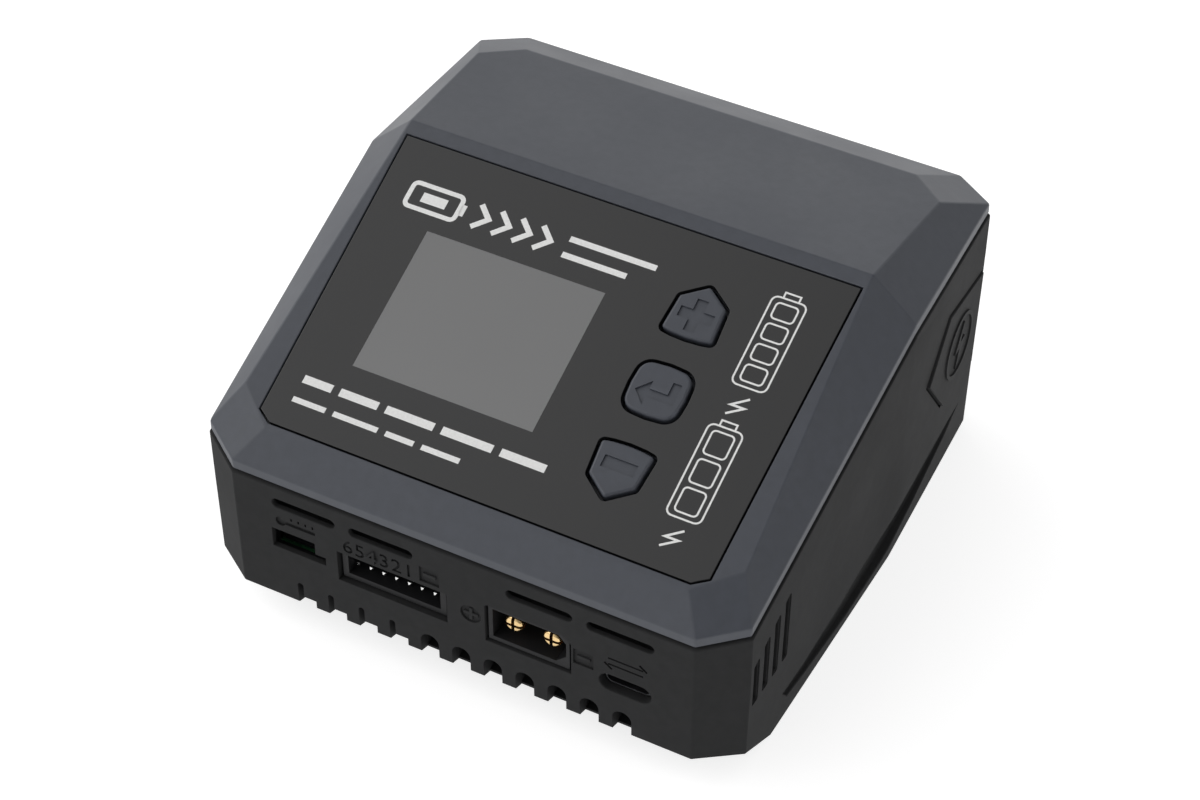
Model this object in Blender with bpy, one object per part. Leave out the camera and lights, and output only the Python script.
"""Desktop balance battery charger: a two-part faceted case, sloping control panel, ports and insides.

Case frame, in millimetres until the end of each helper: +X to the right, -Y to the front (the ports), +Z up
and z = 0 at the underside of the lower shell. An empty lifts the whole case by the height of its feet.
"""

from math import atan, cos, pi, radians, sin, tan

import bmesh
import bpy
from mathutils import Matrix, Vector

MM = 0.001

# Case, outside
CORNER_HALF_WIDTH = 50.8
BOW_HALF_WIDTH = 52.45
HALF_DEPTH = 52.2
CORNER_CUT_X = 7.5
CORNER_CUT_Y = 5.0
CREASE_Y = 10.9
CREASE_Z = 62.3
FRONT_SLOPE = radians(21.3)
REAR_SLOPE = radians(6.8)
SPLIT_FRONT_Z = 32.4
SPLIT_CREASE_Z = 52.3
SPLIT_REAR_Z = 50.8
LIP_HEIGHT = 2.3
FRONT_CHAMFER = 5.1
REAR_CHAMFER_Y = 10.0
REAR_CHAMFER_Z = 5.6
SIDE_CHAMFER = 8.3
CORNER_TOP_FRONT = (41.0, -46.1)
CORNER_TOP_REAR = (40.8, 40.55)
TOE_Z = 5.2
TOE_Y = -38.0
FOOT_HEIGHT = 1.0

# Case, walls
WALL = 2.4
PANEL_WALL = 3.0
BASE_PROUD = 0.3
SPLIT_GAP = 0.4
GAP = 0.3

# Control panel, in the frame of the sloping top: x, distance down the slope from the crease
PANEL_TOP = 3.0
PANEL_BOTTOM = 61.2
PANEL_HALF_TOP = 43.2
PANEL_HALF_BOTTOM = 41.9
PANEL_CORNER = 2.6
PANEL_THICK = 1.3
PANEL_SEAT = 1.6
SCREEN = (-30.9, 3.5, 18.9, 46.7)
BUTTON_X = 19.8
BUTTON_GAP = 0.45
BUTTON_PROUD = 1.0
BUTTON_TRAVEL = 0.8
UP_OUTLINE = ((-5.5, 22.2), (5.5, 22.2), (4.9, 14.5), (0.0, 10.8), (-4.9, 14.5))
DOWN_OUTLINE = ((-5.6, 42.8), (-4.8, 50.3), (0.0, 54.0), (4.8, 50.3), (5.6, 42.8))
ENTER_OUTLINE = ((-5.6, 26.9), (-5.6, 37.9), (5.6, 37.9), (5.6, 26.9))
BOARD_DEPTH = 8.5
BOARD_THICK = 1.6

# Front wall
SLOT_CENTRES = (-29.7, -14.7, 15.2, 30.1)
SLOT_LENGTH = 12.3
SLOT_HEIGHT = 2.0
SLOT_Z = 28.4
TOE_VENTS = 11
TOE_VENTS_CLOSED = 4
TOE_VENT_PITCH = 6.1
TOE_VENT_WIDTH = 3.5
TOE_VENT_TOP = 10.2
TOE_NOTCH_TOP = 7.0
TOE_SLIT_WIDTH = 1.1
TOE_VENT_DEPTH = 2.1
TOE_LIP_Z = 5.0
PORT_REACH = 5.4
TEMP_X = -31.75
TEMP_Z = 18.9
BALANCE_X = -12.95
BALANCE_Z = 18.75
PIN_PITCH = 2.5
PIN_WIDTH = 0.64
OUTPUT_X = 13.25
OUTPUT_Z = 19.4
POWER_PIN_PITCH = 7.2
POWER_PIN_RADIUS = 1.75
DATA_X = 31.05
DATA_Z = 16.5

# Side walls
SIDE_SLOTS = 4
SIDE_SLOT_Y = -45.3
SIDE_SLOT_PITCH = 3.6
SIDE_SLOT_BASE = 16.6
SIDE_SLOT_TOP = 25.8
SIDE_SLOT_RISE = 1.75
SCOOP_DEPTH = 2.3
SCOOP_UPPER = ((45.0, 9.9), (13.0, 11.2), (-3.6, 11.1), (-20.7, 8.9), (-35.0, 7.6))
SCOOP_BACK = ((41.0, 9.1), (13.0, 7.5), (-3.6, 6.7), (-20.7, 5.9), (-33.6, 6.5))
SCOOP_LOWER = ((-32.0, 4.5), (-25.0, 3.5), (-9.0, 2.0), (5.0, 2.3), (20.0, 4.1), (35.0, 6.9))
BADGE_OUTLINE = ((34.5, 17.6), (35.7, 38.1), (18.3, 41.4), (9.8, 32.0), (19.5, 19.2))
BADGE_PROUD = 0.3

# Rear wall
FAN_X = -18.6
FAN_Z = 27.0
FAN_SIZE = 40.0
FAN_THICK = 10.0
FAN_BACK_Y = 38.7
FAN_HOLE = 16.0
HUB_RADIUS = 7.9
BLADES = 7
BLADE_PITCH = radians(38)
GRILLE_RADIUS = 17.0
GRILLE_PITCH = 3.6
GRILLE_SLOT = 2.2
MAINS_X = 12.5
MAINS_PIN_PITCH = 8.6
MAINS_PIN_RADIUS = 1.2
DC_X = 30.5
REAR_PORT_Z = 16.5

# Insides
FLOOR = 2.4
MAIN_BOARD_Z = 12.6
POWER_BOARD_Z = 7.0
BOSS_X = 42.5
BOSS_Y = 43.3
BOSS_TOP = 13.7
BOSS_RADIUS = 3.4
PILLAR_RADIUS = 3.2
SCREW_HOLE = 1.6
SCREW_RIM = 3.0
REAR_SCREW_HEAD_Z = 2.2
FRONT_SCREW_HEAD_Z = 3.5
POST_RADIUS = 2.4
POST_X = 34.0
MAIN_POSTS_Y = (-38.0, -8.0)
POWER_POSTS_Y = (6.0, 33.0)
FOOT_X = 36.0
FOOT_Y = 30.0
FOOT_RADIUS = 4.0


# ---------------------------------------------------------------- scene, materials and small helpers

for old in list(bpy.data.objects):
    bpy.data.objects.remove(old)

CHARGER = bpy.data.collections.new("balance_charger")
CUTTERS = bpy.data.collections.new("cutters")
bpy.context.scene.collection.children.link(CHARGER)
bpy.context.scene.collection.children.link(CUTTERS)
STAND = bpy.data.objects.new("stand", None)
STAND.location = (0, 0, FOOT_HEIGHT * MM)
CHARGER.objects.link(STAND)


def material(name, colour, roughness, metallic=0.0):
    made = bpy.data.materials.new(name)
    made.use_nodes = True
    shader = made.node_tree.nodes["Principled BSDF"]
    shader.inputs["Base Color"].default_value = (*colour, 1)
    shader.inputs["Roughness"].default_value = roughness
    shader.inputs["Metallic"].default_value = metallic
    return made


SLATE = material("slate_plastic", (0.060, 0.066, 0.081), 0.46)
BLACK = material("black_plastic", (0.030, 0.031, 0.032), 0.55)
GLOSS = material("panel_gloss", (0.0125, 0.0125, 0.013), 0.10)
SCREEN_GREY = material("screen", (0.16, 0.16, 0.165), 0.2)
BOARD_GREEN = material("circuit_board", (0.02, 0.12, 0.05), 0.45)
GOLD = material("gold_plate", (0.85, 0.56, 0.22), 0.25, 1.0)
TIN = material("tin_plate", (0.72, 0.72, 0.70), 0.35, 1.0)
ALUMINIUM = material("aluminium", (0.78, 0.79, 0.80), 0.35, 1.0)
STEEL = material("screw_steel", (0.35, 0.35, 0.36), 0.35, 1.0)
COPPER = material("copper_wire", (0.70, 0.33, 0.16), 0.35, 1.0)
RUBBER = material("rubber", (0.02, 0.02, 0.02), 0.85)
SLEEVE = material("capacitor_sleeve", (0.03, 0.05, 0.12), 0.4)
GLASS = material("fuse_glass", (0.75, 0.80, 0.80), 0.1)
RIBBON = material("ribbon_film", (0.75, 0.73, 0.66), 0.5)


def node(name, bm, paint, smooth=None):
    """A finished bmesh, in millimetres of the case frame, as a named sub-part."""
    bmesh.ops.scale(bm, vec=(MM, MM, MM), verts=bm.verts)
    bmesh.ops.recalc_face_normals(bm, faces=bm.faces)
    mesh = bpy.data.meshes.new(name)
    bm.to_mesh(mesh)
    bm.free()
    mesh.materials.append(paint)
    if smooth:
        mesh.shade_smooth()
        mesh.set_sharp_from_angle(angle=radians(smooth))
    made = bpy.data.objects.new(name, mesh)
    made.parent = STAND
    CHARGER.objects.link(made)
    return made


def boolean(target, operation, bm):
    """Cuts, joins or crosses a sub-part with a helper solid given in millimetres of the case frame."""
    helper = node(f"{target.name}_{operation.lower()}", bm, BLACK)
    CHARGER.objects.unlink(helper)
    CUTTERS.objects.link(helper)
    helper.hide_render = True
    helper.display_type = "WIRE"
    modifier = target.modifiers.new(operation.lower(), "BOOLEAN")
    modifier.operation = operation
    modifier.solver = "EXACT"
    modifier.object = helper
    return helper


def cut(target, *solids):
    for solid in solids:
        boolean(target, "DIFFERENCE", solid)


def join(target, *solids):
    for solid in solids:
        boolean(target, "UNION", solid)


def box(low, high):
    """A box between two corners."""
    bm = bmesh.new()
    low, high = Vector(low), Vector(high)
    size = Matrix.Diagonal((*(high - low), 1))
    bmesh.ops.create_cube(bm, size=1, matrix=Matrix.Translation((low + high) / 2) @ size)
    return bm


def rod(centre, radius, length, axis="Z", segments=24, end_radius=None):
    """A cylinder or cone that starts at centre and runs along an axis; its first end has the radius."""
    turn = {"Z": Matrix(), "Y": Matrix.Rotation(-pi / 2, 4, "X"), "X": Matrix.Rotation(pi / 2, 4, "Y")}[axis]
    bm = bmesh.new()
    bmesh.ops.create_cone(
        bm,
        cap_ends=True,
        segments=segments,
        radius1=radius,
        radius2=radius if end_radius is None else end_radius,
        depth=length,
        matrix=Matrix.Translation(centre) @ turn @ Matrix.Translation((0, 0, length / 2)),
    )
    return bm


def prism(outline, low, high, frame=Matrix()):
    """An outline in a frame's XY plane, extruded along its Z from low to high."""
    bm = bmesh.new()
    face = bm.faces.new([bm.verts.new((x, y, low)) for x, y in outline])
    raised = bmesh.ops.extrude_face_region(bm, geom=[face])["geom"]
    moved = [part for part in raised if isinstance(part, bmesh.types.BMVert)]
    bmesh.ops.translate(bm, vec=(0, 0, high - low), verts=moved)
    bmesh.ops.recalc_face_normals(bm, faces=bm.faces)
    bmesh.ops.transform(bm, matrix=frame, verts=bm.verts)
    return bm


def merged(*solids):
    """Several solids that don't touch, as one helper."""
    whole = bmesh.new()
    for solid in solids:
        bmesh.ops.recalc_face_normals(solid, faces=solid.faces)
        mesh = bpy.data.meshes.new("merged")
        solid.to_mesh(mesh)
        solid.free()
        whole.from_mesh(mesh)
        bpy.data.meshes.remove(mesh)
    return whole


def rounded(outline, radius, steps=3):
    """The outline with each corner replaced by an arc."""
    points = []
    count = len(outline)
    for i, corner in enumerate(outline):
        corner = Vector(corner)
        before = (Vector(outline[i - 1]) - corner).normalized()
        after = (Vector(outline[(i + 1) % count]) - corner).normalized()
        half = before.angle(after) / 2
        centre = corner + (before + after).normalized() * radius / sin(half)
        start = corner + before * radius / tan(half) - centre
        end = corner + after * radius / tan(half) - centre
        turn = start.angle_signed(end)
        for step in range(steps + 1):
            points.append(tuple(centre + Matrix.Rotation(-turn * step / steps, 2) @ start))
    return points


def grown(outline, amount):
    """The outline with every side moved out by the same amount."""
    points = []
    count = len(outline)
    area = sum(
        outline[i - 1][0] * outline[i][1] - outline[i][0] * outline[i - 1][1] for i in range(count)
    )
    side = 1 if area > 0 else -1
    for i, corner in enumerate(outline):
        along = (Vector(corner) - Vector(outline[i - 1])).normalized()
        ahead = (Vector(outline[(i + 1) % count]) - Vector(corner)).normalized()
        first = Vector((along.y, -along.x)) * side
        second = Vector((ahead.y, -ahead.x)) * side
        mitre = (first + second) / (1 + first.dot(second))
        points.append(tuple(Vector(corner) + mitre * amount))
    return points


def stadium(half_length, half_height, steps=6):
    """A slot outline with round ends, about its own centre."""
    straight = half_length - half_height
    points = []
    for step in range(steps + 1):
        angle = -pi / 2 + pi * step / steps
        points.append((straight + half_height * cos(angle), half_height * sin(angle)))
    for step in range(steps + 1):
        angle = pi / 2 + pi * step / steps
        points.append((-straight + half_height * cos(angle), half_height * sin(angle)))
    return points


def rectangle(half_x, half_y):
    return [(-half_x, -half_y), (half_x, -half_y), (half_x, half_y), (-half_x, half_y)]


def disc(radius, steps=20):
    return [(radius * cos(2 * pi * i / steps), radius * sin(2 * pi * i / steps)) for i in range(steps)]


def front_frame(x, z):
    """A frame on the front wall: its X is +X, its Y is +Z and its Z points out of the wall, to the front."""
    return Matrix.Translation((x, -HALF_DEPTH, z)) @ Matrix.Rotation(pi / 2, 4, "X")


def rear_frame(x, z):
    """A frame on the rear wall: its Y is +Z and its Z points out, to the rear."""
    turn = Matrix.Rotation(pi, 4, "Z") @ Matrix.Rotation(pi / 2, 4, "X")
    return Matrix.Translation((x, HALF_DEPTH, z)) @ turn


PANEL_FRAME = Matrix.Translation((0, CREASE_Y, CREASE_Z)) @ Matrix.Rotation(FRONT_SLOPE, 4, "X")


def down_slope(outline, x=0.0):
    """An outline given as x and distance down the slope, in the panel frame's own XY."""
    return [(x + px, -distance) for px, distance in outline]


# ---------------------------------------------------------------- the faceted form of the case


def split_height(y):
    """Height of the line where the two shells meet."""
    if y < CREASE_Y:
        rise = (SPLIT_CREASE_Z - SPLIT_FRONT_Z) / (CREASE_Y + HALF_DEPTH)
    else:
        rise = (SPLIT_REAR_Z - SPLIT_CREASE_Z) / (HALF_DEPTH - CREASE_Y)
    return SPLIT_CREASE_Z + (y - CREASE_Y) * rise


def lip_height(y):
    return split_height(y) + LIP_HEIGHT


def facet(a, b, c):
    """The plane through three points, as a point and the normal that points away from the case's middle."""
    a, b, c = Vector(a), Vector(b), Vector(c)
    normal = (b - a).cross(c - a).normalized()
    middle = Vector((0, 0, CREASE_Z / 2))
    return a, normal if normal.dot(a - middle) > 0 else -normal


def wall_facets(side):
    """The upright walls of one side: front corner, side to the crease, side behind it, rear corner."""
    up = Vector((0, 0, 1))
    corner = side * (CORNER_HALF_WIDTH - CORNER_CUT_X)
    plan = (
        (corner, -HALF_DEPTH),
        (side * CORNER_HALF_WIDTH, -HALF_DEPTH + CORNER_CUT_Y),
        (side * BOW_HALF_WIDTH, CREASE_Y),
        (side * CORNER_HALF_WIDTH, HALF_DEPTH - CORNER_CUT_Y),
        (corner, HALF_DEPTH),
    )
    for start, end in zip(plan, plan[1:]):
        a = Vector((*start, 0))
        yield facet(a, Vector((*end, 0)), a + up)


def top_height(y):
    slope = tan(FRONT_SLOPE) if y < CREASE_Y else -tan(REAR_SLOPE)
    return CREASE_Z + (y - CREASE_Y) * slope


def chamfer_facets(side):
    """The sloping facets of one side between the top and the lip: side front, side rear, the corners."""
    front_y = -HALF_DEPTH + CORNER_CUT_Y
    rear_y = HALF_DEPTH - CORNER_CUT_Y
    corner = side * (CORNER_HALF_WIDTH - CORNER_CUT_X)
    crease_lip = (side * BOW_HALF_WIDTH, CREASE_Y, lip_height(CREASE_Y))
    crease_top = (side * (BOW_HALF_WIDTH - SIDE_CHAMFER), CREASE_Y, CREASE_Z)
    front_lip = (side * CORNER_HALF_WIDTH, front_y, lip_height(front_y))
    rear_lip = (side * CORNER_HALF_WIDTH, rear_y, lip_height(rear_y))
    yield facet(front_lip, crease_lip, crease_top)
    yield facet(rear_lip, crease_lip, crease_top)
    for lip, depth, (inner_x, inner_y) in (
        (front_lip, -HALF_DEPTH, CORNER_TOP_FRONT),
        (rear_lip, HALF_DEPTH, CORNER_TOP_REAR),
    ):
        end = (corner, depth, lip_height(depth))
        yield facet(lip, end, (side * inner_x, inner_y, top_height(inner_y)))


def toe_facet(side):
    """The corner of the rising underside at the front."""
    corner = (side * (CORNER_HALF_WIDTH - CORNER_CUT_X), -HALF_DEPTH, TOE_Z)
    wall = (side * CORNER_HALF_WIDTH, -HALF_DEPTH + CORNER_CUT_Y, TOE_Z + 0.2)
    return facet(corner, wall, (side * 50.9, -37.7, 0))


def form(wall=0.0, top=0.0, floor=0.0):
    """The solid form of the case, with its walls, its top and its underside moved in."""
    front_lip = lip_height(-HALF_DEPTH)
    rear_lip = lip_height(HALF_DEPTH)
    facets = [
        (Vector((0, -HALF_DEPTH, 0)), Vector((0, -1, 0)), wall),
        (Vector((0, HALF_DEPTH, 0)), Vector((0, 1, 0)), wall),
        (Vector((0, 0, 0)), Vector((0, 0, -1)), floor),
        (Vector((0, CREASE_Y, CREASE_Z)), Vector((0, -sin(FRONT_SLOPE), cos(FRONT_SLOPE))), top),
        (Vector((0, CREASE_Y, CREASE_Z)), Vector((0, sin(REAR_SLOPE), cos(REAR_SLOPE))), top),
        (Vector((0, -HALF_DEPTH, front_lip)), Vector((0, -1, 1)).normalized(), wall),
        (
            Vector((0, HALF_DEPTH, rear_lip)),
            Vector((0, REAR_CHAMFER_Z, REAR_CHAMFER_Y)).normalized(),
            wall,
        ),
        (*facet((0, -HALF_DEPTH, TOE_Z), (1, -HALF_DEPTH, TOE_Z), (0, TOE_Y, 0)), floor),
    ]
    for side in (-1, 1):
        facets += [(*plane, wall) for plane in wall_facets(side)]
        facets += [(*plane, wall) for plane in chamfer_facets(side)]
        facets.append((*toe_facet(side), floor))
    bm = box((-70, -70, -20), (70, 70, 80))
    for point, normal, inset in facets:
        geometry = bm.verts[:] + bm.edges[:] + bm.faces[:]
        sliced = bmesh.ops.bisect_plane(
            bm, geom=geometry, plane_co=point - normal * inset, plane_no=normal, clear_outer=True
        )["geom_cut"]
        rim = [part for part in sliced if isinstance(part, bmesh.types.BMEdge)]
        if rim:
            bmesh.ops.contextual_create(bm, geom=rim)
    return bm


def below_split(drop):
    """Everything under the line between the shells, lowered by a drop."""
    reach = 80
    outline = [
        (-reach, -60),
        (reach, -60),
        (reach, split_height(reach) - drop),
        (CREASE_Y, SPLIT_CREASE_Z - drop),
        (-reach, split_height(-reach) - drop),
    ]
    along_x = Matrix.Rotation(pi / 2, 4, "Z") @ Matrix.Rotation(pi / 2, 4, "X")
    return prism(outline, -reach, reach, along_x)


# ---------------------------------------------------------------- shells


def side_frame(side):
    """A frame on the middle plane: X runs to the rear on the right side, to the front on the left, Z out."""
    return Matrix.Rotation(side * pi / 2, 4, "Z") @ Matrix.Rotation(pi / 2, 4, "X")


def mirrored_y(outline, side):
    """An outline given as y and height, for the side frame of one side."""
    return [(side * y, z) for y, z in outline]


def slot_row(frame_of, centres, length, height, depth_in, depth_out):
    outline = stadium(length / 2, height / 2)
    return merged(*(prism(outline, -depth_in, depth_out, frame_of(*centre)) for centre in centres))


def toe_vents():
    """Arched openings along the front bottom edge; the first few are closed but for a slit and a notch.

    They are shallow through the toe and go right through the wall above it.
    """
    vents = []
    deep = []
    half = TOE_VENT_WIDTH / 2
    for i in range(TOE_VENTS):
        centre = (i - (TOE_VENTS - 1) / 2) * TOE_VENT_PITCH
        left = centre - half
        closed = i < TOE_VENTS_CLOSED
        radius = TOE_SLIT_WIDTH / 2 if closed else half
        spring = TOE_VENT_TOP - radius
        outline = [(left, -5), (centre + half, -5)]
        if closed:
            outline += [(centre + half, TOE_NOTCH_TOP), (left + TOE_SLIT_WIDTH, TOE_NOTCH_TOP)]
        for step in range(9):
            angle = pi * step / 8
            outline.append((left + radius + radius * cos(angle), spring + radius * sin(angle)))
        vents.append(prism(outline, -TOE_VENT_DEPTH, 5.0, front_frame(0, 0)))
        raised = [(x, max(z, TOE_LIP_Z)) for x, z in outline]
        deep.append(prism(raised, -6.0, -1.0, front_frame(0, 0)))
    return merged(*vents), merged(*deep)


def side_slots(side):
    """Upright slots near the front corner, each taller than the last."""
    slots = []
    for i in range(SIDE_SLOTS):
        y = SIDE_SLOT_Y + i * SIDE_SLOT_PITCH
        top = SIDE_SLOT_TOP + i * SIDE_SLOT_RISE
        outline = [(y - 0.8, SIDE_SLOT_BASE), (y + 0.8, SIDE_SLOT_BASE), (y + 0.8, top), (y - 0.8, top)]
        slots.append(prism(mirrored_y(outline, side), 40, 60, side_frame(side)))
    return merged(*slots)


def scoop(side):
    """A long undercut low in the side wall, over the base flange: its back leans in towards the floor."""
    outer = mirrored_y(SCOOP_UPPER + SCOOP_LOWER, side)
    inner = mirrored_y(SCOOP_BACK + SCOOP_LOWER, side)
    wall = BOW_HALF_WIDTH + BASE_PROUD
    return wedge(inner, outer, wall - SCOOP_DEPTH, wall + 0.5, side_frame(side))


def wedge(inner, outer, low, high, frame):
    """A solid between two outlines of as many points, one at each end."""
    bm = bmesh.new()
    rings = [[bm.verts.new((x, y, z)) for x, y in outline] for outline, z in ((inner, low), (outer, high))]
    for i in range(len(inner)):
        bm.faces.new((rings[0][i - 1], rings[0][i], rings[1][i], rings[1][i - 1]))
    bm.faces.new(rings[0])
    bm.faces.new(rings[1])
    bmesh.ops.transform(bm, matrix=frame, verts=bm.verts)
    bmesh.ops.recalc_face_normals(bm, faces=bm.faces)
    return bm


def badge():
    """A raised plate on the right side wall, parallel to the stretch of wall behind the crease."""
    turn = atan((BOW_HALF_WIDTH - CORNER_HALF_WIDTH) / (HALF_DEPTH - CORNER_CUT_Y - CREASE_Y))
    start = Matrix.Translation((BOW_HALF_WIDTH, CREASE_Y, 0))
    wall_frame = start @ Matrix.Rotation(turn, 4, "Z") @ side_frame(1)
    return prism(BADGE_OUTLINE, -1.5, BASE_PROUD + BADGE_PROUD, wall_frame)


def fan_grille():
    """Upright slots in a round field, in front of the fan."""
    slots = []
    for i in range(-4, 5):
        across = i * GRILLE_PITCH
        half = (GRILLE_RADIUS**2 - across**2) ** 0.5
        upright = rear_frame(FAN_X + across, FAN_Z) @ Matrix.Rotation(pi / 2, 4, "Z")
        slots.append(prism(stadium(half, GRILLE_SLOT / 2, 4), -5, 5, upright))
    return merged(*slots)


def corners(x, y):
    return [(sx * x, sy * y) for sx in (-1, 1) for sy in (-1, 1)]


TEMP_OPENING = [(-4.7, -1.4), (5.8, -1.4), (5.8, 0.4), (3.8, 0.4), (3.8, 3.0), (-4.7, 3.0)]
BALANCE_OPENING = [(-10.6, -3.4), (10.6, -3.4), (10.6, 3.5), (-10.6, 3.5)]
OUTPUT_OPENING = [(-8.3, -4.6), (7.8, -4.6), (7.8, 2.6), (6.2, 4.2), (-8.3, 4.2)]
DATA_OPENING = stadium(4.8, 1.9)
MAINS_OPENING = rectangle(9.4, 5.6)
DC_OPENING = rectangle(8.2, 4.6)


def port_cutter(outline, frame):
    return prism(outline, -PORT_REACH, 3, frame)


def boss_rods(radius, low, high, front=True, rear=True):
    """A rod on each case screw's axis."""
    places = [(x, y) for x, y in corners(BOSS_X, BOSS_Y) if (front and y < 0) or (rear and y > 0)]
    return merged(*(rod((x, y, low), radius, high - low, segments=16) for x, y in places))


def board_posts(ys, board_z):
    low = FLOOR - 1
    high = board_z - GAP
    return [
        rod((side * POST_X, y, low), POST_RADIUS, high - low, segments=12) for side in (-1, 1) for y in ys
    ]


def make_lower_shell():
    lower = node("lower_shell", form(wall=-BASE_PROUD), BLACK)
    boolean(lower, "INTERSECT", below_split(SPLIT_GAP / 2))
    cut(lower, scoop(-1), scoop(1))
    join(lower, badge())
    cut(lower, form(wall=WALL + 0.8, top=-20, floor=FLOOR))
    slots = [(x, SLOT_Z) for x in SLOT_CENTRES]
    cut(lower, slot_row(front_frame, slots, SLOT_LENGTH, SLOT_HEIGHT, 5, 3))
    cut(lower, *toe_vents(), side_slots(1), side_slots(-1), fan_grille())
    cut(
        lower,
        port_cutter(TEMP_OPENING, front_frame(TEMP_X, TEMP_Z)),
        port_cutter(BALANCE_OPENING, front_frame(BALANCE_X, BALANCE_Z)),
        port_cutter(OUTPUT_OPENING, front_frame(OUTPUT_X, OUTPUT_Z)),
        port_cutter(DATA_OPENING, front_frame(DATA_X, DATA_Z)),
        port_cutter(MAINS_OPENING, rear_frame(MAINS_X, REAR_PORT_Z)),
        port_cutter(DC_OPENING, rear_frame(DC_X, REAR_PORT_Z)),
    )
    posts = board_posts(MAIN_POSTS_Y, MAIN_BOARD_Z) + board_posts(POWER_POSTS_Y, POWER_BOARD_Z)
    join(lower, boss_rods(BOSS_RADIUS, FLOOR - 1, BOSS_TOP), merged(*posts))
    cut(
        lower,
        boss_rods(SCREW_HOLE, -2, BOSS_TOP + 2),
        boss_rods(SCREW_RIM, -2, REAR_SCREW_HEAD_Z, front=False),
        boss_rods(SCREW_RIM, -2, FRONT_SCREW_HEAD_Z, rear=False),
        merged(*(rod((x, y, -3), FOOT_RADIUS + GAP, 3.8) for x, y in corners(FOOT_X, FOOT_Y))),
    )


def panel_outline():
    return [
        (-PANEL_HALF_TOP, PANEL_TOP),
        (PANEL_HALF_TOP, PANEL_TOP),
        (PANEL_HALF_BOTTOM, PANEL_BOTTOM - 1.7),
        (PANEL_HALF_BOTTOM - PANEL_CORNER, PANEL_BOTTOM),
        (-PANEL_HALF_BOTTOM + PANEL_CORNER, PANEL_BOTTOM),
        (-PANEL_HALF_BOTTOM, PANEL_BOTTOM - 1.7),
    ]


def button_outlines():
    return {
        "up": rounded(UP_OUTLINE, 1.1),
        "enter": rounded(ENTER_OUTLINE, 3.2, 4),
        "down": rounded(DOWN_OUTLINE, 1.1),
    }


def button_holes(low, high, extra):
    return merged(
        *(
            prism(down_slope(grown(outline, extra), BUTTON_X), low, high, PANEL_FRAME)
            for outline in button_outlines().values()
        )
    )


def make_top_shell():
    top = node("top_shell", form(), SLATE)
    cut(top, below_split(-SPLIT_GAP / 2))
    cut(top, form(wall=WALL, top=PANEL_WALL, floor=-20))
    pillars = boolean(top, "UNION", boss_rods(PILLAR_RADIUS, BOSS_TOP + GAP, BOSS_TOP + 60))
    boolean(pillars, "INTERSECT", form(wall=1.0, top=1.0))
    cut(top, boss_rods(SCREW_HOLE, BOSS_TOP - 2, BOSS_TOP + 12))
    cut(top, prism(down_slope(grown(panel_outline(), GAP)), -PANEL_SEAT, 5, PANEL_FRAME))
    left, right, near, far = SCREEN
    window = [(left, near), (right, near), (right, far), (left, far)]
    cut(top, prism(down_slope(window), -8, 5, PANEL_FRAME), button_holes(-8, 5, BUTTON_GAP))


def make_front_panel():
    bottom = -PANEL_SEAT + GAP
    sheet = prism(down_slope(panel_outline()), bottom, bottom + PANEL_THICK, PANEL_FRAME)
    panel = node("front_panel", sheet, GLOSS)
    cut(panel, button_holes(-8, 5, BUTTON_GAP))


# ---------------------------------------------------------------- control panel parts


def make_display():
    left, right, near, far = SCREEN
    frame = [(left - 2, near - 3), (right + 5, near - 3), (right + 5, far + 2), (left - 2, far + 2)]
    module = prism(down_slope(frame), -BOARD_DEPTH + GAP, -PANEL_WALL - GAP, PANEL_FRAME)
    node("lcd_module", module, SCREEN_GREY)
    outline = [(-37, 8), (31, 8), (31, 57), (-37, 57)]
    board = prism(down_slope(outline), -BOARD_DEPTH - BOARD_THICK, -BOARD_DEPTH, PANEL_FRAME)
    node("display_board", board, BOARD_GREEN)


def make_buttons():
    """Each cap slides along the panel's normal; its origin is the middle of its face."""
    centres = {"up": 17.4, "enter": 32.4, "down": 47.4}
    for name, outline in button_outlines().items():
        cap = node(
            f"{name}_button",
            prism(down_slope(outline, BUTTON_X), -PANEL_WALL - GAP, BUTTON_PROUD, PANEL_FRAME),
            SLATE,
        )
        flange = down_slope(grown(outline, 1.1), BUTTON_X)
        join(cap, prism(flange, -PANEL_WALL - GAP - 0.9, -PANEL_WALL - GAP, PANEL_FRAME))
        middle = PANEL_FRAME @ Vector((BUTTON_X, -centres[name], 0))
        cap.data.transform(Matrix.Translation(-middle * MM))
        cap.location = middle * MM
        switch_base = PANEL_FRAME @ Matrix.Translation((BUTTON_X, -centres[name], -BOARD_DEPTH + GAP))
        switch = node(f"{name}_switch", prism(rectangle(3.0, 3.0), 0, 2.0, switch_base), BLACK)
        plunger = rod((0, 0, 1), 1.6, 1.9, segments=12)
        bmesh.ops.transform(plunger, matrix=switch_base, verts=plunger.verts)
        join(switch, plunger)


# ---------------------------------------------------------------- ports


def make_pins(housing, name, centres, front, back):
    """A row of square pins through the back of a header."""
    cut(housing, merged(*(prism(rectangle(0.5, 0.5), -back - 2, -7, front_frame(*c)) for c in centres)))
    for i, centre in enumerate(centres):
        pin = prism(rectangle(PIN_WIDTH / 2, PIN_WIDTH / 2), -back, -front, front_frame(*centre))
        node(f"{name}_{i + 1}", pin, TIN)


def socket(name, outline, cavity, frame, depth, cavity_depth, face=0.5, paint=BLACK):
    """A housing with an open cavity towards the outside, its face set back from the upper shell's outline."""
    body = node(name, prism(outline, -depth, -face, frame), paint)
    cut(body, prism(cavity, -cavity_depth, 3, frame))
    return body


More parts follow.
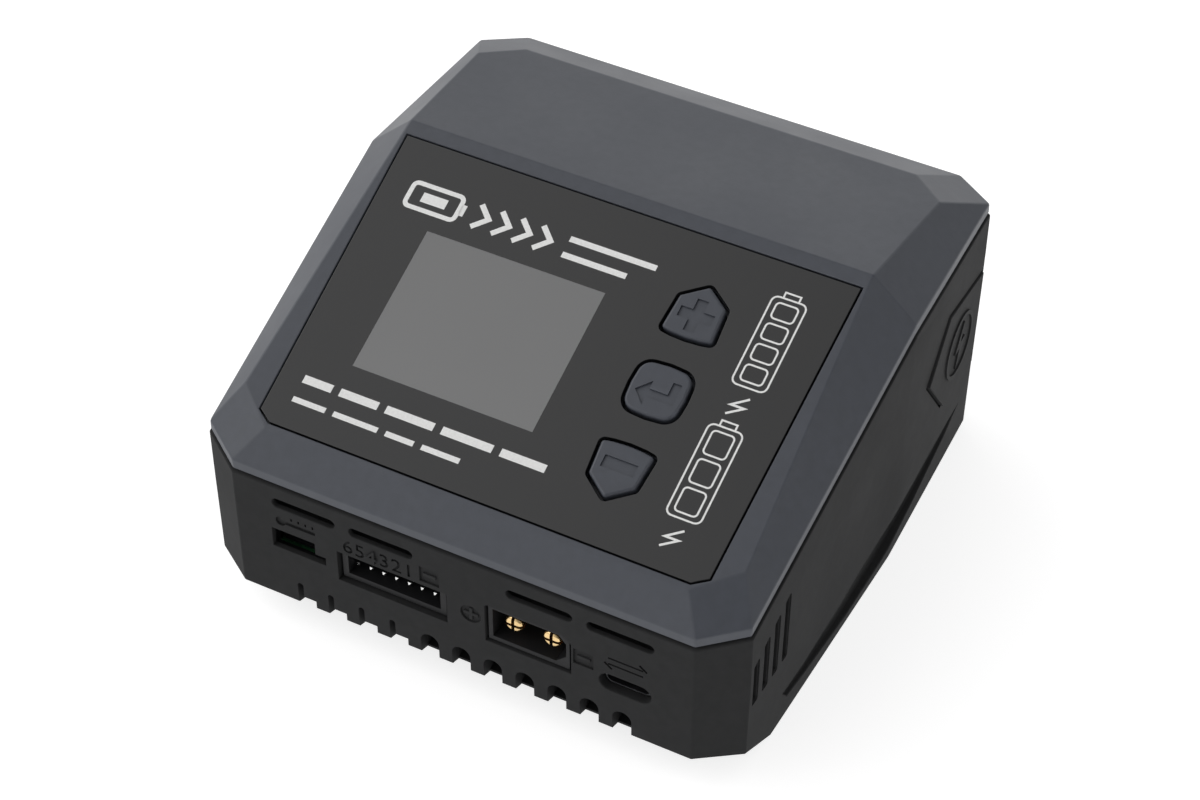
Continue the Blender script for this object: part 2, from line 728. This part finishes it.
def split_pin(name, x, z, frame_of, front, back):
    """A round contact with a cross slot in its tip."""
    pin = node(name, rod((0, 0, 0), POWER_PIN_RADIUS, back - front), GOLD, smooth=40)
    place = frame_of(x, z) @ Matrix.Translation((0, 0, -back))
    pin.data.transform(Matrix.Scale(MM, 4) @ place @ Matrix.Scale(1 / MM, 4))
    for blade in (rectangle(0.3, 3.0), rectangle(3.0, 0.3)):
        cut(pin, prism(blade, -front - 3.5, -front + 1, frame_of(x, z)))


def make_front_ports():
    housing = socket(
        "balance_header",
        [(-10.1, -2.9), (10.1, -2.9), (10.1, 3.1), (-10.1, 3.1)],
        [(-8.9, -1.7), (8.9, -1.7), (8.9, 2.6), (-8.9, 2.6)],
        front_frame(BALANCE_X, BALANCE_Z),
        depth=11.0,
        cavity_depth=8.5,
    )
    row = [(BALANCE_X - 0.8 + (i - 3) * PIN_PITCH, BALANCE_Z - 1.15) for i in range(7)]
    make_pins(housing, "balance_pin", row, 2.3, 11.4)

    housing = socket(
        "temp_header",
        [(-5.3, -3.4), (2.5, -3.4), (2.5, 2.0), (-5.3, 2.0)],
        [(-4.6, -2.7), (1.8, -2.7), (1.8, 1.3), (-4.6, 1.3)],
        front_frame(TEMP_X, TEMP_Z),
        depth=12.0,
        cavity_depth=8.5,
        face=3.6,
    )
    row = [(TEMP_X - 1.4 + (i - 1) * PIN_PITCH, TEMP_Z - 2.0) for i in range(3)]
    make_pins(housing, "temp_pin", row, 3.6, 12.4)

    housing = socket(
        "output_socket",
        [(-7.9, -4.2), (7.4, -4.2), (7.4, 2.4), (6.0, 3.8), (-7.9, 3.8)],
        [(-7.0, -3.2), (4.8, -3.2), (6.7, -1.3), (6.7, 1.7), (5.3, 3.3), (-7.0, 3.3)],
        front_frame(OUTPUT_X, OUTPUT_Z),
        depth=16.0,
        cavity_depth=9.0,
        face=0.1,
    )
    make_power_pins(housing, "output", OUTPUT_X - 0.15, OUTPUT_Z + 0.05, front_frame)

    place = front_frame(DATA_X, DATA_Z)
    outline, cavity = stadium(4.45, 1.6), stadium(4.05, 1.25)
    socket("data_socket", outline, cavity, place, depth=8.0, cavity_depth=6.0, face=1.2, paint=TIN)


def make_power_pins(housing, name, x, z, frame_of):
    for sign, word in ((-1, "minus"), (1, "plus")):
        across = x + sign * POWER_PIN_PITCH / 2
        cut(housing, prism(disc(POWER_PIN_RADIUS + GAP), -18, -6, frame_of(across, z)))
        split_pin(f"{name}_pin_{word}", across, z, frame_of, 1.0, 15.0)


def make_rear_ports():
    place = rear_frame(MAINS_X, REAR_PORT_Z)
    cavity = rounded(rectangle(7.9, 4.2), 2.4)
    mains = socket("mains_inlet", rectangle(9.1, 5.3), cavity, place, depth=17.0, cavity_depth=13.0)
    for i, sign in enumerate((-1, 1)):
        across = rear_frame(MAINS_X + sign * MAINS_PIN_PITCH / 2, REAR_PORT_Z)
        cut(mains, prism(disc(MAINS_PIN_RADIUS + GAP), -19, -12, across))
        node(f"mains_pin_{i + 1}", prism(disc(MAINS_PIN_RADIUS), -16.5, -3.0, across), TIN)
    place = rear_frame(DC_X, REAR_PORT_Z)
    cavity = [(-6.9, -3.5), (5.0, -3.5), (6.9, -1.6), (6.9, 1.6), (5.0, 3.5), (-6.9, 3.5)]
    housing = socket("dc_input_socket", rectangle(7.9, 4.3), cavity, place, depth=16.0, cavity_depth=9.0)
    make_power_pins(housing, "dc_input", DC_X, REAR_PORT_Z, rear_frame)


# ---------------------------------------------------------------- insides


def make_boards():
    top = MAIN_BOARD_Z + BOARD_THICK
    node("main_board", box((-38, -48.6, MAIN_BOARD_Z), (38, -2, top)), BOARD_GREEN)
    node("power_board", box((-38, 2, POWER_BOARD_Z), (38, 36, POWER_BOARD_Z + BOARD_THICK)), BOARD_GREEN)

    inductor = node("charging_inductor", ring(7.0, 3.0, 6.5), COPPER, smooth=50)
    inductor.location = Vector((-20, -20, top + GAP)) * MM
    for i, x in enumerate((12, 25)):
        node(f"output_capacitor_{i + 1}", rod((x, -18, top + GAP), 5.0, 15.5, segments=20), SLEEVE, smooth=40)
    node("buzzer", rod((-4, -32, top + GAP), 4.5, 5.0, segments=20), BLACK, smooth=40)

    film = [(-33.0, top + GAP), (-32.7, top + GAP), (-29.2, 24), (-29.2, 33.8), (-29.5, 33.8), (-29.5, 24.1)]
    node("ribbon_cable", prism(film, 2, 16, side_frame(1)), RIBBON)


def ring(middle_radius, tube, height):
    """A lying ring, turned from its section."""
    bm = bmesh.new()
    section = rounded([(-tube, 0), (tube, 0), (tube, height), (-tube, height)], 1.2, 2)
    loop = [bm.verts.new((middle_radius + x, 0, z)) for x, z in section]
    edges = [bm.edges.new((loop[i - 1], loop[i])) for i in range(len(loop))]
    turned = {"cent": (0, 0, 0), "axis": (0, 0, 1), "angle": 2 * pi, "steps": 24, "use_merge": True}
    bmesh.ops.spin(bm, geom=loop + edges, **turned)
    bmesh.ops.remove_doubles(bm, verts=bm.verts, dist=0.001)
    return bm


def make_power_parts():
    base = POWER_BOARD_Z + BOARD_THICK + GAP
    core = node("transformer", box((-13, 8, base), (13, 31, base + 20)), STEEL)
    join(core, box((-10.5, 6, base + 4), (10.5, 33, base + 16)))
    node("bulk_capacitor", rod((27, 4, base + 8), 8.0, 27, axis="Y", segments=24), SLEEVE, smooth=40)
    node("fuse", rod((-10, 3.6, base + 2.6), 2.5, 20, axis="X", segments=14), GLASS, smooth=40)
    sink = node("heatsink", box((-36, 8, base), (-16, 33, base + 3)), ALUMINIUM)
    fins = [box((-36 + i * 4.5, 8, base + 2), (-34 + i * 4.5, 33, base + 22)) for i in range(5)]
    join(sink, merged(*fins))


def make_fan():
    """A square axial fan on the rear wall: its rotor turns about the depth axis."""
    half = FAN_SIZE / 2
    along_y = Matrix.Translation((FAN_X, FAN_BACK_Y, FAN_Z)) @ Matrix.Rotation(-pi / 2, 4, "X")
    outline = rounded(rectangle(half, half), 3)
    frame = node("fan_frame", prism(outline, 0, FAN_THICK, along_y), BLACK)
    cut(frame, fan_rod(-1, 18.6, FAN_THICK + 2, segments=40))
    join(frame, fan_rod(0, 8.5, 1.4))
    for turn in (0, 1, 2):
        arm = box((0, 0, -1.1), (half - 0.5, 1.4, 1.1))
        bmesh.ops.transform(arm, matrix=Matrix.Rotation(turn * 2 * pi / 3 + 0.4, 4, "Y"), verts=arm.verts)
        join(frame, lifted(arm))
    holes = [fan_rod(-1, 1.7, FAN_THICK + 2, x, z, segments=12) for x, z in corners(FAN_HOLE, FAN_HOLE)]
    cut(frame, merged(*holes))

    stator = node("fan_stator", fan_rod(1.7, 5.2, 5.0, segments=20), COPPER, smooth=40)
    cut(stator, fan_rod(1.0, 1.6, 8.0, segments=12))

    hub = rod((0, 1.9, 0), HUB_RADIUS, 7.6, axis="Y", segments=28)
    rotor = node("fan_rotor", hub, BLACK, smooth=30)
    cut(rotor, fan_rod(1.0, 6.3, 6.9))
    join(rotor, fan_rod(2.2, 1.0, 6.5, segments=12))
    for i in range(BLADES):
        blade = box((HUB_RADIUS - 1.4, -3.4, -0.5), (17.8, 3.4, 0.5))
        bmesh.ops.transform(blade, matrix=Matrix.Rotation(BLADE_PITCH, 4, "X"), verts=blade.verts)
        bmesh.ops.translate(blade, vec=(0, 5.8, 0), verts=blade.verts)
        bmesh.ops.transform(blade, matrix=Matrix.Rotation(2 * pi * i / BLADES, 4, "Y"), verts=blade.verts)
        join(rotor, lifted(blade))
    rotor.location = Vector((FAN_X, FAN_BACK_Y, FAN_Z)) * MM


def fan_rod(start, radius, length, x=0.0, z=0.0, segments=24):
    """A rod along the fan's axis, measured from the front of its frame."""
    return rod((FAN_X + x, FAN_BACK_Y + start, FAN_Z + z), radius, length, axis="Y", segments=segments)


def lifted(bm):
    """A solid made about the fan's own origin, moved to its place."""
    bmesh.ops.translate(bm, vec=(FAN_X, FAN_BACK_Y, FAN_Z), verts=bm.verts)
    return bm


def make_fasteners():
    for i, (x, y) in enumerate(corners(BOSS_X, BOSS_Y)):
        seat = FRONT_SCREW_HEAD_Z if y < 0 else REAR_SCREW_HEAD_Z
        screw = node(f"case_screw_{i + 1}", rod((x, y, seat - 1.9), 2.6, 1.6, segments=16), STEEL)
        join(screw, rod((x, y, seat - 0.6), 1.25, 17.5, segments=12))
        cut(screw, rod((x, y, seat - 3), 1.0, 1.9, segments=6))
    for i, (x, y) in enumerate(corners(FOOT_X, FOOT_Y)):
        foot = rod((x, y, -FOOT_HEIGHT), FOOT_RADIUS, FOOT_HEIGHT + 0.5, segments=20)
        node(f"rubber_foot_{i + 1}", foot, RUBBER)
    for i, sign in enumerate((-1, 1)):
        across, up = sign * FAN_HOLE, -sign * FAN_HOLE
        screw = node(f"fan_screw_{i + 1}", fan_rod(-2.2, 2.8, 1.9, across, up, 14), STEEL)
        join(screw, fan_rod(-1.0, 1.3, 10.5, across, up, 12))


make_lower_shell()
make_top_shell()
make_front_panel()
make_display()
make_buttons()
make_front_ports()
make_rear_ports()
make_boards()
make_power_parts()
make_fan()
make_fasteners()
